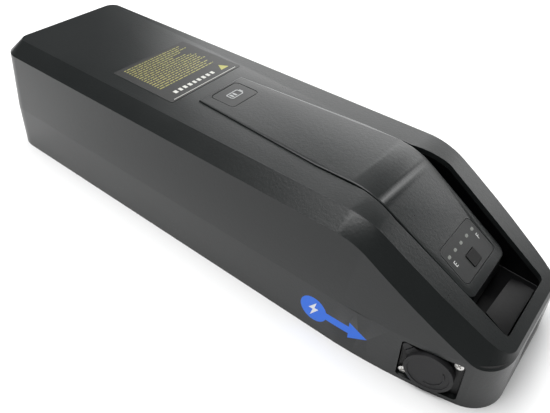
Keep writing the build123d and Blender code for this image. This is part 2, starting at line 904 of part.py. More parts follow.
row_cells = []
for row, spots in enumerate(cell_rows):
    with BuildPart() as row_part:
        with BuildSketch(lying_plane(cell_length / 2)):
            with Locations(*spots):
                Circle(cell_radius)
        extrude(amount=cell_length)
        ends = row_part.edges().filter_by(GeomType.CIRCLE)
        fillet(ends, 0.7)
    row_cells.append(row_part)

side_pieces = {}
for side, sign in (("near", -1), ("far", 1)):
    inner_y = sign * (cell_length / 2 - holder_thickness)
    with BuildPart() as holder:
        with BuildSketch(lying_plane(inner_y)):
            add(row_bands(0.8))
            for spots in cell_rows:
                with Locations(*spots):
                    Circle(cell_radius + 0.05, mode=Mode.SUBTRACT)
        extrude(amount=-sign * holder_thickness)
    strip_y = sign * (cell_length / 2 + 0.05)
    with BuildPart() as strips:
        with BuildSketch(lying_plane(strip_y)):
            for spots in cell_rows:
                with Locations(((spots[0][0] + spots[-1][0]) / 2, spots[0][1])):
                    Rectangle(len(spots) * cell_pitch - cell_pitch / 2, 7.0)
            for x, z in cell_rows[0][:-2]:
                with Locations((x, z + row_rise / 2), (x + cell_pitch / 2, z + 1.5 * row_rise)):
                    Rectangle(4.0, row_rise)
        extrude(amount=-sign * strip_thickness)
    sheet_y = sign * (cell_length / 2 + 0.6)
    with BuildPart() as sheet:
        with BuildSketch(lying_plane(sheet_y)):
            add(row_bands(0.4))
        extrude(amount=-sign * sheet_thickness)
    side_pieces[side] = (holder, strips, sheet)

rows_top = cell_rows[-1][0][1] + cell_radius + 0.15
with BuildPart() as floor_pad:
    with BuildSketch(Plane.XY.offset(floor)):
        with Locations((cells_tail + row_counts[0] * cell_pitch / 2, 0)):
            Rectangle(row_counts[0] * cell_pitch - 4, cell_length - 4)
    extrude(amount=pad_thickness)

with BuildPart() as roof_pad:
    with BuildSketch(Plane.XY.offset(rows_top)):
        with Locations((board_x + 14, 0)):
            Rectangle(board_length + 34, 2 * board_half + 4)
    extrude(amount=pad_thickness)

# Protection board, its heat sink, transistors, plug and fuse
board_z = rows_top + pad_thickness
board_top = board_z + board_thickness
with BuildPart() as control_board:
    with BuildSketch(Plane.XY.offset(board_z)):
        with Locations((board_x, 0)):
            Rectangle(board_length, 2 * board_half)
            with GridLocations(board_length - 8, 2 * board_half - 8, 2, 2):
                Circle(1.6, mode=Mode.SUBTRACT)
    extrude(amount=board_thickness)

with BuildPart() as board_chips:
    with BuildSketch(Plane.XY.offset(board_top)):
        with Locations((board_x - 30, 12)):
            Rectangle(7, 5)
        with Locations((board_x - 10, 14)):
            Rectangle(9, 9)
        with Locations((board_x + 16, 13)):
            with GridLocations(7, 6, 5, 3):
                Rectangle(3.2, 1.8)
    extrude(amount=1.4)

power_x = board_x + 3
with BuildPart() as board_transistors:
    with BuildSketch(Plane.XY.offset(board_top)):
        with Locations((power_x, -9)):
            with GridLocations(13.4, 1, transistor_count, 1):
                Rectangle(10, 9)
    extrude(amount=2.2)

with BuildPart() as heat_sink:
    with BuildSketch(Plane.XY.offset(board_top)):
        with Locations((power_x, -19)):
            Rectangle(78, 8)
    extrude(amount=2.0)
    with BuildSketch(Plane.XY.offset(board_top + 2.0)):
        with Locations((power_x, -19)):
            with GridLocations(1, 2.4, 1, 3):
                Rectangle(78, 1.2)
    extrude(amount=3.4)

with BuildPart() as balance_plug:
    with BuildSketch(Plane.XY.offset(board_top)):
        with Locations((board_x - 42, -2)):
            Rectangle(6, 34)
    extrude(amount=5.0)
    with BuildSketch(Plane.XY.offset(board_top + 5.0)):
        with Locations((board_x - 42, -2)):
            with GridLocations(1, 2.4, 1, 13):
                Rectangle(2.4, 1.2)
    extrude(amount=-3.5, mode=Mode.SUBTRACT)

fuse_x = board_x + board_length / 2 + 14
with BuildPart() as fuse_holder:
    with BuildSketch(Plane.XY.offset(board_z)):
        with Locations((fuse_x, 0)):
            Rectangle(20, 10)
    extrude(amount=5.0)
    with BuildSketch(Plane.XY.offset(board_z + 5.0)):
        with Locations((fuse_x, 0)):
            Rectangle(15.4, 3.4)
    extrude(amount=-3.0, mode=Mode.SUBTRACT)

with BuildPart() as fuse:
    with BuildSketch(Plane.XY.offset(board_z + 2.0)):
        with Locations((fuse_x, 0)):
            Rectangle(15.0, 3.0)
    extrude(amount=5.0)

# Leads held by the pack: one pair to the dock's blades, one pair to the charge socket


def lead(points, bends):
    """A round lead along straight runs joined by arcs."""
    with BuildPart() as run:
        with BuildLine() as path:
            FilletPolyline(*points, radius=bends)
        with BuildSketch(Plane(origin=path.line @ 0, z_dir=path.line % 0)):
            Circle(lead_radius)
        sweep()
    return run.part


lead_z = board_top + lead_radius
lead_start = board_x + board_length / 2 - 5


def top_run(y_start, y_run):
    """A lead's points from the board to the bend, on the rows' top."""
    return [
        (lead_start, y_start, lead_z),
        (lead_start + 26, y_start, lead_z),
        (lead_start + 56, y_run, lead_z + 1.5),
        (bend_x - 30, y_run, lead_z + 1.5),
        (bend_x + 4, y_run, lead_z - 9),
    ]


dock_inner = slot_spots[3]
dock_outer = slot_spots[2]
with BuildPart() as dock_leads:
    inner_points = top_run(17.0, lead_inner) + [
        (dock_x - 4, lead_inner, 36.0),
        (dock_x + 3, lead_inner, under_well + 1),
        (dock_inner[0] + 4, dock_inner[1] + 5, under_well),
        (dock_inner[0] + 4, dock_inner[1], under_well - 0.4),
        (dock_inner[0] + 4, dock_inner[1], dock_rise),
    ]
    outer_points = top_run(21.5, lead_outer) + [
        (dock_x - 10, lead_outer, 36.0),
        (dock_x - 5, lead_outer, under_well + 1),
        (dock_outer[0] - 4, dock_outer[1] + 6, under_well),
        (dock_outer[0] - 4, dock_outer[1], under_well - 0.4),
        (dock_outer[0] - 4, dock_outer[1], dock_rise),
    ]
    add(lead(inner_points, [14, 14, 14, 14, 12, 7, 4, 2.4]))
    add(lead(outer_points, [14, 14, 14, 14, 12, 7, 4, 2.4]))

socket_back = socket_face - socket_length
near_end = port_plane.from_local_coords((-2.8, 0, socket_back))
near_turn = port_plane.from_local_coords((-2.8, 0, socket_back - 7.5))
far_end = port_plane.from_local_coords((2.8, 0, socket_back))
far_turn = port_plane.from_local_coords((2.8, 0, socket_back - 9.5))
with BuildPart() as charge_leads:
    inner_points = top_run(-17.0, -lead_inner) + [
        (dock_x - 13, -lead_inner, 36.0),
        (dock_x - 9, -lead_inner, under_well + 2),
        (near_turn.X - 6.5, near_turn.Y + 1, under_well),
        (near_turn.X, near_turn.Y, near_turn.Z),
        (near_end.X, near_end.Y, near_end.Z),
    ]
    outer_points = top_run(-21.5, -lead_outer) + [
        (dock_x - 11, -lead_outer, 36.0),
        (dock_x - 4, -lead_outer, under_well + 3),
        (far_turn.X - 7, far_turn.Y + 2, under_well + 1.2),
        (far_turn.X, far_turn.Y, far_turn.Z),
        (far_end.X, far_end.Y, far_end.Z),
    ]
    add(lead(inner_points, [14, 14, 14, 14, 10, 5, 3, 3]))
    add(lead(outer_points, [14, 14, 14, 14, 10, 5, 3, 3]))

upper_case.part.label = "upper_shell"
export_step(upper_case.part, "parts/upper_shell.step")
lower_case.part.label = "lower_shell"
export_step(lower_case.part, "parts/lower_shell.step")
seam_seal.part.label = "seam_seal"
export_step(seam_seal.part, "parts/seam_seal.step")
case_screws.part.label = "case_screws"
export_step(case_screws.part, "parts/case_screws.step")
grip_well.part.label = "grip_well"
export_step(grip_well.part, "parts/grip_well.step")
grip_ramp.part.label = "grip_ramp"
export_step(grip_ramp.part, "parts/grip_ramp.step")
badge_plate.part.label = "badge_plate"
export_step(badge_plate.part, "parts/badge_plate.step")
badge_symbol.part.label = "badge_symbol"
export_step(badge_symbol.part, "parts/badge_symbol.step")
caution_film.part.label = "caution_film"
export_step(caution_film.part, "parts/caution_film.step")
side_decal.part.label = "side_decal"
export_step(side_decal.part, "parts/side_decal.step")
decal_bolt.part.label = "decal_bolt"
export_step(decal_bolt.part, "parts/decal_bolt.step")
gauge_panel.part.label = "gauge_panel"
export_step(gauge_panel.part, "parts/gauge_panel.step")
gauge_lights.part.label = "gauge_lights"
export_step(gauge_lights.part, "parts/gauge_lights.step")
gauge_button.part.label = "gauge_button"
export_step(gauge_button.part, "parts/gauge_button.step")
gauge_board.part.label = "gauge_board"
export_step(gauge_board.part, "parts/gauge_board.step")
gauge_housing.part.label = "gauge_housing"
export_step(gauge_housing.part, "parts/gauge_housing.step")
charge_bezel.part.label = "charge_bezel"
export_step(charge_bezel.part, "parts/charge_bezel.step")
charge_socket.part.label = "charge_socket"
export_step(charge_socket.part, "parts/charge_socket.step")
charge_pins.part.label = "charge_pins"
export_step(charge_pins.part, "parts/charge_pins.step")
charge_screws.part.label = "charge_screws"
export_step(charge_screws.part, "parts/charge_screws.step")
charge_cap.part.label = "charge_cap"
export_step(charge_cap.part, "parts/charge_cap.step")
cap_anchor.part.label = "cap_anchor"
export_step(cap_anchor.part, "parts/cap_anchor.step")
usb_port.part.label = "usb_port"
export_step(usb_port.part, "parts/usb_port.step")
usb_board.part.label = "usb_board"
export_step(usb_board.part, "parts/usb_board.step")
usb_cover.part.label = "usb_cover"
export_step(usb_cover.part, "parts/usb_cover.step")
dock_connector.part.label = "dock_connector"
export_step(dock_connector.part, "parts/dock_connector.step")
dock_blades.part.label = "dock_blades"
export_step(dock_blades.part, "parts/dock_blades.step")
lock_keeper.part.label = "lock_keeper"
export_step(lock_keeper.part, "parts/lock_keeper.step")
row_cells[0].part.label = "cells_low_row"
export_step(row_cells[0].part, "parts/cells_low_row.step")
row_cells[1].part.label = "cells_middle_row"
export_step(row_cells[1].part, "parts/cells_middle_row.step")
row_cells[2].part.label = "cells_top_row"
export_step(row_cells[2].part, "parts/cells_top_row.step")
side_pieces["near"][0].part.label = "cell_holder_near"
export_step(side_pieces["near"][0].part, "parts/cell_holder_near.step")
side_pieces["far"][0].part.label = "cell_holder_far"
export_step(side_pieces["far"][0].part, "parts/cell_holder_far.step")
side_pieces["near"][1].part.label = "cell_strips_near"
export_step(side_pieces["near"][1].part, "parts/cell_strips_near.step")
side_pieces["far"][1].part.label = "cell_strips_far"
export_step(side_pieces["far"][1].part, "parts/cell_strips_far.step")
side_pieces["near"][2].part.label = "cell_sheet_near"
export_step(side_pieces["near"][2].part, "parts/cell_sheet_near.step")
side_pieces["far"][2].part.label = "cell_sheet_far"
export_step(side_pieces["far"][2].part, "parts/cell_sheet_far.step")
floor_pad.part.label = "floor_pad"
export_step(floor_pad.part, "parts/floor_pad.step")
roof_pad.part.label = "roof_pad"
export_step(roof_pad.part, "parts/roof_pad.step")
control_board.part.label = "control_board"
export_step(control_board.part, "parts/control_board.step")
board_chips.part.label = "board_chips"
export_step(board_chips.part, "parts/board_chips.step")
board_transistors.part.label = "board_transistors"
export_step(board_transistors.part, "parts/board_transistors.step")
heat_sink.part.label = "heat_sink"
export_step(heat_sink.part, "parts/heat_sink.step")
balance_plug.part.label = "balance_plug"
export_step(balance_plug.part, "parts/balance_plug.step")
fuse_holder.part.label = "fuse_holder"
export_step(fuse_holder.part, "parts/fuse_holder.step")
fuse.part.label = "fuse"
export_step(fuse.part, "parts/fuse.step")
dock_leads.part.label = "dock_leads"
export_step(dock_leads.part, "parts/dock_leads.step")
charge_leads.part.label = "charge_leads"
export_step(charge_leads.part, "parts/charge_leads.step")
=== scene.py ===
import random
from math import asin, atan, cos, pi, radians, sin, sqrt

import bmesh
import bpy
from mathutils import Matrix, Vector


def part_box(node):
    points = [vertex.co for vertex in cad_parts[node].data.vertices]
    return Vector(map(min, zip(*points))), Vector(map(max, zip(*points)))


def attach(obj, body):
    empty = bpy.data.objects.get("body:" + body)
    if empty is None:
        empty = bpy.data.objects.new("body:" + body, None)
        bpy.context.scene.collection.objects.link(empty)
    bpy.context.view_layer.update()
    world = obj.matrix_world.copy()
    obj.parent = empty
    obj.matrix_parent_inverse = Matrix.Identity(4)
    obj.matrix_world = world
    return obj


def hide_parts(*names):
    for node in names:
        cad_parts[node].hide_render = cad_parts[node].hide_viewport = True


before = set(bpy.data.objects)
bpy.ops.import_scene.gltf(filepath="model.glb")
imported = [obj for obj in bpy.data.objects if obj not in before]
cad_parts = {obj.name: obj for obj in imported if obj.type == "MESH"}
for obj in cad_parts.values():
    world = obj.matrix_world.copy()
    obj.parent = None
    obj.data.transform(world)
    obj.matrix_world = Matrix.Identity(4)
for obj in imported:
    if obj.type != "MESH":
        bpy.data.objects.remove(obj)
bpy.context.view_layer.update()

MM = 0.001

# The pack's own geometry: +X to the sloping nose, -Y the side with the charge port
case_half = 45.0
case_height = 69.0
bend_x = 93.0
slope_rise = 0.635
slope = atan(slope_rise)
along_slope = Vector((cos(slope), 0, -sin(slope)))
off_slope = Vector((sin(slope), 0, cos(slope)))


# ---- Shader values as expressions ----

class Shade:
    """A value in a finish's node tree that takes part in expressions."""

    def __init__(self, tree, socket):
        self.tree = tree
        self.socket = socket

    def maths(self, operation, first, second=None):
        made = self.tree.nodes.new("ShaderNodeMath")
        made.operation = operation
        for entry, value in zip(made.inputs, (first, second)):
            if isinstance(value, Shade):
                self.tree.links.new(value.socket, entry)
            elif value is not None:
                entry.default_value = value
        return Shade(self.tree, made.outputs[0])

    def __add__(self, other):
        return self.maths("ADD", self, other)

    def __radd__(self, other):
        return self.maths("ADD", other, self)

    def __sub__(self, other):
        return self.maths("SUBTRACT", self, other)

    def __mul__(self, other):
        return self.maths("MULTIPLY", self, other)

    def __abs__(self):
        return self.maths("ABSOLUTE", self)

    def smooth(self, low, high):
        """Rises from 0 at low to 1 at high."""
        made = self.tree.nodes.new("ShaderNodeMapRange")
        made.interpolation_type = "SMOOTHSTEP"
        self.tree.links.new(self.socket, made.inputs["Value"])
        made.inputs["From Min"].default_value = low
        made.inputs["From Max"].default_value = high
        return Shade(self.tree, made.outputs[0])


class Finish:
    """One material, built from its shader's constants and the nodes that vary it."""

    def __init__(self, name, **constants):
        self.material = bpy.data.materials.new(name)
        self.material.use_nodes = True
        self.tree = self.material.node_tree
        self.shader = self.tree.nodes["Principled BSDF"]
        for key, value in constants.items():
            self.shader.inputs[key.replace("_", " ")].default_value = value
        self.place = self.node("ShaderNodeTexCoord", output="Object")

    def node(self, kind, settings=None, sockets=None, output=0):
        """A node with its settings made first, then its sockets' values or links."""
        made = self.tree.nodes.new(kind)
        for key, value in (settings or {}).items():
            setattr(made, key, value)
        for key, value in (sockets or {}).items():
            if isinstance(value, Shade):
                self.tree.links.new(value.socket, made.inputs[key])
            else:
                made.inputs[key].default_value = value
        return Shade(self.tree, made.outputs[output])

    def noise(self, per_metre, detail=2.0, rough=0.5, place=None):
        return self.node(
            "ShaderNodeTexNoise",
            sockets={
                "Vector": place or self.place,
                "Scale": per_metre,
                "Detail": detail,
                "Roughness": rough,
            },
        )

    def grains(self, per_metre):
        return self.node("ShaderNodeTexVoronoi", sockets={"Vector": self.place, "Scale": per_metre})

    def stretched(self, x, y, z):
        return self.node("ShaderNodeMapping", sockets={"Vector": self.place, "Scale": (x, y, z)})

    def axes(self):
        made = self.tree.nodes.new("ShaderNodeSeparateXYZ")
        self.tree.links.new(self.place.socket, made.inputs[0])
        return [Shade(self.tree, out) for out in made.outputs]

    def mixed(self, factor, first, second):
        """A colour between two, by a varying factor."""
        made = self.tree.nodes.new("ShaderNodeMix")
        made.data_type = "RGBA"
        for index, value in ((0, factor), (6, first), (7, second)):
            if isinstance(value, Shade):
                self.tree.links.new(value.socket, made.inputs[index])
            else:
                made.inputs[index].default_value = (*value, 1.0)
        return Shade(self.tree, made.outputs[2])

    def feed(self, **values):
        for key, value in values.items():
            self.tree.links.new(value.socket, self.shader.inputs[key.replace("_", " ")])
        return self

    def bump(self, height, depth_mm):
        """Raises the surface by a height of 0 to 1, to a depth in millimetres."""
        made = self.node("ShaderNodeBump", sockets={"Height": height, "Strength": 1.0, "Distance": depth_mm * MM})
        self.tree.links.new(made.socket, self.shader.inputs["Normal"])
        return self


# ---- Finishes ----

def moulded_plastic(name, colour, paler, roughness, grain_per_metre, depth, gloss=0.5):
    """Satin moulded plastic: a fine spark-eroded grain with a soft cloudy gloss."""
    made = Finish(name, IOR=1.47, Specular_IOR_Level=gloss)
    grain = made.noise(grain_per_metre, 3.0, 0.62)
    cloud = made.noise(26.0, 3.0, 0.55)
    speck = made.noise(grain_per_metre * 0.42, 1.0, 0.5)
    dust = made.noise(420.0, 2.0, 0.6).smooth(0.60, 0.78)
    made.feed(
        Base_Color=made.mixed(dust * 0.35 + cloud * 0.5, colour, paler),
        Roughness=(cloud - 0.5) * 0.10 + (grain - 0.5) * 0.12 + roughness,
    )
    return made.bump(grain * 0.45 + speck * 0.55, depth)


def soft_rubber(name, colour, paler, roughness=0.62):
    """Matt elastomer with a faint bloom and fine pits."""
    made = Finish(name, IOR=1.5, Specular_IOR_Level=0.35)
    bloom = made.noise(90.0, 4.0, 0.6)
    pits = made.noise(2600.0, 2.0, 0.5)
    made.feed(
        Base_Color=made.mixed(bloom.smooth(0.35, 0.75), colour, paler),
        Roughness=(bloom - 0.5) * 0.16 + roughness,
    )
    return made.bump(pits, 0.02)


def turned_metal(name, colour, paler, roughness, lines=(60.0, 60.0, 2400.0)):
    """Plated or turned metal with fine lines and a little tarnish."""
    made = Finish(name, Metallic=1.0)
    line = made.noise(1.0, 3.0, 0.6, made.stretched(*lines))
    tarnish = made.noise(260.0, 4.0, 0.6).smooth(0.4, 0.8)
    made.feed(
        Base_Color=made.mixed(tarnish, paler, colour),
        Roughness=tarnish * 0.16 + (line - 0.5) * 0.12 + roughness,
    )
    return made.bump(line, 0.008)


def printed_film(name, colour, paler, roughness=0.4):
    """Thin printed film with a slight orange peel."""
    made = Finish(name, IOR=1.46, Specular_IOR_Level=0.5)
    peel = made.noise(700.0, 2.0, 0.5)
    cloud = made.noise(40.0, 3.0, 0.5)
    made.feed(
        Base_Color=made.mixed(cloud, colour, paler),
        Roughness=(peel - 0.5) * 0.12 + roughness,
    )
    return made.bump(peel, 0.012)


def banded_sleeve(name):
    """Shrink sleeve of the cells: pale teal with a darker band and fine creases near the ends."""
    made = Finish(name, IOR=1.5, Specular_IOR_Level=0.5)
    _, across, _ = made.axes()
    band = abs(across).smooth(0.0285, 0.0300)
    crease = made.noise(1.0, 3.0, 0.6, made.stretched(900.0, 90.0, 900.0))
    made.feed(
        Base_Color=made.mixed(band, (0.10, 0.28, 0.34), (0.03, 0.09, 0.12)),
        Roughness=crease * 0.2 + 0.28,
    )
    return made.bump(crease, 0.02)


def circuit_board(name):
    """Green solder resist with paler tracks."""
    made = Finish(name, IOR=1.5, Specular_IOR_Level=0.5)
    track = made.node(
        "ShaderNodeTexBrick",
        {"offset": 0.35, "squash": 0.8},
        {"Vector": made.place, "Scale": 160.0, "Mortar Size": 0.06, "Mortar Smooth": 0.3},
        "Fac",
    )
    weave = made.noise(1900.0, 2.0)
    made.feed(
        Base_Color=made.mixed(track, (0.012, 0.10, 0.045), (0.03, 0.21, 0.09)),
        Roughness=weave * 0.15 + 0.26,
    )
    return made.bump(track * 0.8 + weave * 0.2, 0.03)


def foam_sheet(name):
    made = Finish(name, Specular_IOR_Level=0.2)
    cells = made.grains(900.0)
    made.feed(Base_Color=made.mixed(cells, (0.015, 0.015, 0.016), (0.07, 0.07, 0.07)), Roughness=0.85 + cells * 0.1)
    return made.bump(cells, 0.12)


def pressed_board(name):
    made = Finish(name, Specular_IOR_Level=0.3)
    fibre = made.noise(1.0, 4.0, 0.6, made.stretched(300.0, 1500.0, 900.0))
    made.feed(Base_Color=made.mixed(fibre, (0.44, 0.36, 0.19), (0.62, 0.54, 0.34)), Roughness=fibre * 0.2 + 0.6)
    return made.bump(fibre, 0.04)


def clear_guide(name):
    """Milky light guide, unlit."""
    made = Finish(name, IOR=1.49, Specular_IOR_Level=0.5)
    cloud = made.noise(1500.0, 2.0)
    made.feed(Base_Color=made.mixed(cloud, (0.13, 0.14, 0.13), (0.22, 0.23, 0.21)), Roughness=cloud * 0.15 + 0.25)
    return made.bump(cloud, 0.01)


def insulated_wire(name, colour, paler):
    made = Finish(name, IOR=1.48, Specular_IOR_Level=0.45)
    wave = made.noise(240.0, 3.0)
    made.feed(Base_Color=made.mixed(wave, colour, paler), Roughness=wave * 0.2 + 0.38)
    return made.bump(wave, 0.03)


case_plastic = moulded_plastic(
    "case_plastic", (0.0085, 0.0100, 0.0100), (0.0150, 0.0170, 0.0168), 0.31, 1900.0, 0.065
)
# Painted shade: the case plastic made near-black where the deep grip recess lies in shadow
well_plastic = moulded_plastic(
    "well_plastic", (0.0012, 0.0012, 0.0014), (0.0022, 0.0022, 0.0026), 0.30, 1500.0, 0.012, 0.22
)
# Painted shade: the case plastic made near-black where the sloping floor of the grip recess lies in shadow
ramp_plastic_painted_shade = moulded_plastic(
    "ramp_plastic_painted_shade", (0.0010, 0.0010, 0.0012), (0.0020, 0.0020, 0.0024), 0.42, 2300.0, 0.03, 0.10
)
port_plastic = moulded_plastic(
    "port_plastic", (0.003, 0.003, 0.0032), (0.006, 0.006, 0.0064), 0.45, 2600.0, 0.03, 0.35
)
gauge_film = moulded_plastic(
    "gauge_film", (0.012, 0.013, 0.013), (0.019, 0.020, 0.020), 0.40, 2800.0, 0.02
)
badge_plastic = moulded_plastic(
    "badge_plastic", (0.010, 0.011, 0.011), (0.016, 0.017, 0.017), 0.34, 2800.0, 0.02
)
holder_plastic = moulded_plastic(
    "holder_plastic", (0.02, 0.02, 0.02), (0.04, 0.04, 0.04), 0.5, 1800.0, 0.03
)
chip_plastic = moulded_plastic(
    "chip_plastic", (0.015, 0.015, 0.015), (0.03, 0.03, 0.03), 0.45, 3200.0, 0.02
)
plug_plastic = moulded_plastic(
    "plug_plastic", (0.66, 0.64, 0.58), (0.76, 0.74, 0.68), 0.42, 2400.0, 0.02
)
fuse_plastic = moulded_plastic(
    "fuse_plastic", (0.62, 0.20, 0.02), (0.75, 0.28, 0.04), 0.25, 1800.0, 0.01
)
cap_rubber = soft_rubber("cap_rubber", (0.011, 0.011, 0.012), (0.020, 0.020, 0.021), 0.55)
button_rubber = soft_rubber("button_rubber", (0.004, 0.004, 0.004), (0.008, 0.008, 0.008), 0.62)
cover_rubber = soft_rubber("cover_rubber", (0.010, 0.010, 0.011), (0.018, 0.018, 0.019), 0.6)
seal_rubber = soft_rubber("seal_rubber", (0.010, 0.010, 0.010), (0.018, 0.018, 0.018), 0.7)
bright_screw = turned_metal("bright_screw", (0.60, 0.59, 0.57), (0.86, 0.85, 0.83), 0.22)
steel = turned_metal("steel", (0.36, 0.36, 0.37), (0.56, 0.56, 0.57), 0.32)
contact_metal = turned_metal("contact_metal", (0.60, 0.44, 0.20), (0.85, 0.68, 0.36), 0.25)
nickel_strip = turned_metal(
    "nickel_strip", (0.55, 0.54, 0.50), (0.74, 0.72, 0.68), 0.30, (40.0, 40.0, 1500.0)
)
fin_metal = turned_metal(
    "fin_metal", (0.55, 0.55, 0.56), (0.76, 0.76, 0.77), 0.36, (40.0, 900.0, 900.0)
)
label_film = printed_film("label_film", (0.019, 0.0195, 0.0190), (0.027, 0.0275, 0.0265), 0.40)
label_ink = printed_film("label_ink", (0.33, 0.32, 0.09), (0.42, 0.40, 0.13), 0.5)
heading_ink = printed_film("heading_ink", (0.50, 0.50, 0.47), (0.62, 0.62, 0.58), 0.5)
decal_blue = printed_film("decal_blue", (0.004, 0.13, 0.74), (0.008, 0.17, 0.85), 0.34)
decal_white = printed_film("decal_white", (0.78, 0.80, 0.82), (0.86, 0.87, 0.88), 0.36)
badge_ink = printed_film("badge_ink", (0.30, 0.31, 0.31), (0.40, 0.41, 0.41), 0.42)
gauge_ink = printed_film("gauge_ink", (0.52, 0.53, 0.52), (0.62, 0.63, 0.62), 0.45)
cell_sleeve = banded_sleeve("cell_sleeve")
board_resist = circuit_board("board_resist")
foam = foam_sheet("foam")
paper = pressed_board("paper")
guide = clear_guide("guide")
red_wire = insulated_wire("red_wire", (0.42, 0.02, 0.015), (0.55, 0.04, 0.03))
black_wire = insulated_wire("black_wire", (0.012, 0.012, 0.012), (0.03, 0.03, 0.03))

node_finish = {
    "upper_shell": case_plastic, "lower_shell": case_plastic, "grip_well": well_plastic, "grip_ramp": ramp_plastic_painted_shade,
    "seam_seal": seal_rubber, "case_screws": steel, "badge_plate": badge_plastic, "badge_symbol": badge_ink,
    "caution_film": label_film, "side_decal": decal_blue, "decal_bolt": decal_white, "gauge_panel": gauge_film,
    "gauge_lights": guide, "gauge_button": button_rubber, "gauge_board": board_resist, "gauge_housing": well_plastic,
    "charge_bezel": port_plastic, "charge_socket": port_plastic, "charge_pins": contact_metal,
    "charge_screws": bright_screw, "charge_cap": cap_rubber, "cap_anchor": cap_rubber, "usb_port": steel,
    "usb_board": board_resist, "usb_cover": cover_rubber, "dock_connector": port_plastic, "dock_blades": contact_metal,
    "lock_keeper": steel, "cells_low_row": cell_sleeve, "cells_middle_row": cell_sleeve, "cells_top_row": cell_sleeve,
    "cell_holder_near": holder_plastic, "cell_holder_far": holder_plastic, "cell_strips_near": nickel_strip,
    "cell_strips_far": nickel_strip, "cell_sheet_near": paper, "cell_sheet_far": paper, "floor_pad": foam,
    "roof_pad": foam, "control_board": board_resist, "board_chips": chip_plastic, "board_transistors": chip_plastic,
    "heat_sink": fin_metal, "balance_plug": plug_plastic, "fuse_holder": chip_plastic, "fuse": fuse_plastic,
    "dock_leads": red_wire, "charge_leads": black_wire,
}
for node_name, finish in node_finish.items():
    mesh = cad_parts[node_name].data
    mesh.materials.clear()
    mesh.materials.append(finish.material)


# ---- Pieces ----

def piece(name, build, finish, body):
    """A new object from a bmesh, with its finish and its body."""
    mesh = bpy.data.meshes.new(name)
    build.to_mesh(mesh)
    build.free()
    made = bpy.data.objects.new(name, mesh)
    bpy.context.scene.collection.objects.link(made)
    mesh.materials.append(finish.material)
    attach(made, body)
    return made


SHARP_ANGLE = 28.0
MERGE_DISTANCE = 0.004 * MM
FLAT_ANGLE = 1.2


def softened(node_name, name, body, width, segments=3):
    """The node's own shape with its edges rounded, in place of the node."""
    build = bmesh.new()
    build.from_mesh(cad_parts[node_name].data)
    bmesh.ops.remove_doubles(build, verts=build.verts, dist=MERGE_DISTANCE)
    bmesh.ops.dissolve_limit(
        build,
        angle_limit=radians(FLAT_ANGLE),
        verts=build.verts,
        edges=build.edges,
        use_dissolve_boundaries=False,
    )
    for face in build.faces:
        face.smooth = True
    made = piece(name, build, node_finish[node_name], body)
    made.data.set_sharp_from_angle(angle=radians(SHARP_ANGLE))
    edge = made.modifiers.new("edges", "BEVEL")
    edge.width = width * MM
    edge.segments = segments
    edge.limit_method = "ANGLE"
    edge.angle_limit = radians(SHARP_ANGLE)
    edge.use_clamp_overlap = True
    edge.harden_normals = False
    edge.miter_outer = "MITER_ARC"
    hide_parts(node_name)
    return made


softened("upper_shell", "upper_cover", "pack", 0.55)
softened("lower_shell", "lower_tray", "pack", 0.35)
softened("grip_well", "grip_hollow", "pack", 0.4)
softened("grip_ramp", "grip_slide", "pack", 0.9, 4)
softened("charge_bezel", "port_bezel", "pack", 0.25)
softened("charge_cap", "port_cap_disc", "port_cap", 0.3)
softened("cap_anchor", "port_cap_strap", "pack", 0.25)
softened("usb_cover", "usb_flap_cover", "usb_flap", 0.3)
softened("gauge_panel", "gauge_plate", "pack", 0.12, 2)
softened("gauge_button", "gauge_key", "button", 0.35)
softened("badge_plate", "badge_tablet", "pack", 0.35)


def bars(build, spots, thickness):
    """Thin printed bars lying on a level face, each given by its middle and its size."""
    for x, y, z, long_x, wide_y in spots:
        place = Matrix.Translation((x, y, z)) @ Matrix.Diagonal((long_x, wide_y, thickness, 1.0))
        bmesh.ops.create_cube(build, size=1.0, matrix=place)


# Printing on the dark label: a plain triangle, a heading and rows of small marks
film_low, film_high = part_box("caution_film")
film_top = film_high[2]
ink = 0.02 * MM
marks = random.Random(7)
rows = bmesh.new()
row_x = film_low[0] + 3.2 * MM
row_count = 15
row_height = 0.58 * MM
word_gap = 0.65 * MM
short_row = 4
row_pitch = (film_high[0] - film_low[0] - 15.5 * MM) / row_count
for row in range(row_count):
    y = film_low[1] + 5.0 * MM
    y_end = film_high[1] - (14.0 if row == short_row else 4.5) * MM - marks.random() * 7.0 * MM
    while y < y_end:
        run = (0.9 + marks.random() * 2.6) * MM
        run = min(run, y_end - y + 0.4 * MM)
        bars(rows, [(row_x + row * row_pitch, y + run / 2, film_top + ink / 2, row_height, run)], ink)
        y += run + word_gap
piece("label_rows", rows, label_ink, "pack")

heading = bmesh.new()
heading_x = film_high[0] - 6.3 * MM
y = film_low[1] + 7.0 * MM
for run in (3.2, 2.7, 2.9, 3.1, 2.6, 2.9, 3.0, 2.8, 2.9):
    bars(heading, [(heading_x, y + run * MM / 2, film_top + ink / 2, 2.6 * MM, run * MM * 0.66)], ink)
    y += (run + 0.5) * MM
rule_y = (film_low[1] + film_high[1]) / 2
bars(heading, [(film_high[0] - 1.4 * MM, rule_y, film_top + ink / 2, 0.35 * MM, 46 * MM)], ink)
piece("label_heading", heading, heading_ink, "pack")

triangle = bmesh.new()
bmesh.ops.create_circle(triangle, cap_ends=True, segments=3, radius=3.4 * MM)
bmesh.ops.rotate(triangle, verts=triangle.verts, cent=(0, 0, 0), matrix=Matrix.Rotation(pi / 2, 3, "Z"))
bmesh.ops.translate(triangle, verts=triangle.verts, vec=(heading_x, film_high[1] - 7.5 * MM, film_top + ink))
bmesh.ops.solidify(triangle, geom=triangle.faces, thickness=ink)
bmesh.ops.recalc_face_normals(triangle, faces=triangle.faces)
piece("label_triangle", triangle, label_ink, "pack")

# Gauge: small letters at the ends of the scale
gauge_x = 123.0
spine_drop = 4.7
gauge_origin = Vector((gauge_x, 0, case_height - spine_drop - slope_rise * (gauge_x - bend_x))) * MM
gauge_turn = Matrix((along_slope, (0, 1, 0), off_slope)).transposed()


